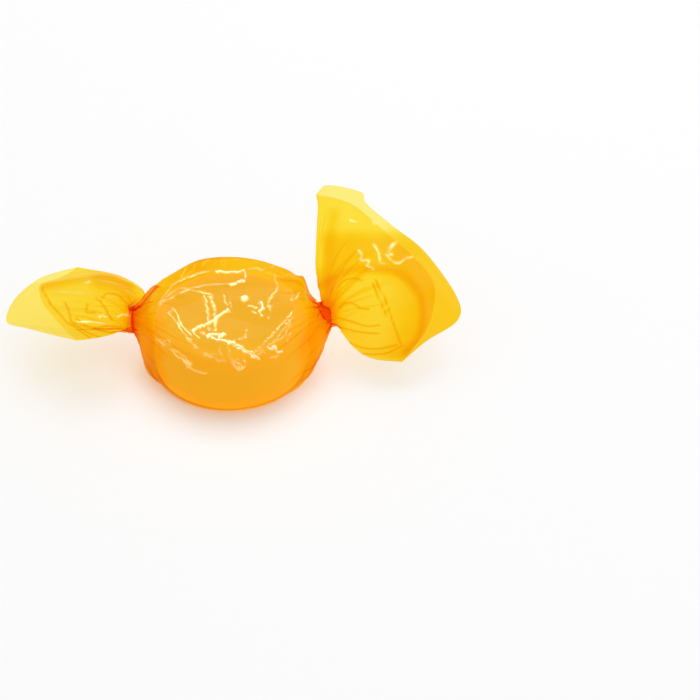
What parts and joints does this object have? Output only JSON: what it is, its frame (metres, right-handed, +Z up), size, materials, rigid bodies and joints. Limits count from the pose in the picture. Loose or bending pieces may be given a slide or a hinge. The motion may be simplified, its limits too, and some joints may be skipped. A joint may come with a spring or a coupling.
{
  "type": "wrapped butterscotch candy",
  "caption": "Round flat butterscotch candy wrapped in clear yellow film that is twisted shut at both sides into fanned tails.",
  "frame": {"origin": "middle of the flat spot under the candy, on which it rests", "axes": "+X along the twist axis towards the tall tail, +Z up from the surface it rests on, +Y away from the side the picture shows"},
  "size_m": [0.0689, 0.0266, 0.0232],
  "materials": {
    "film": "gloss"
  },
  "bodies": {
    "root": {"wrapped_candy": "film"}
  },
  "joints": []
}
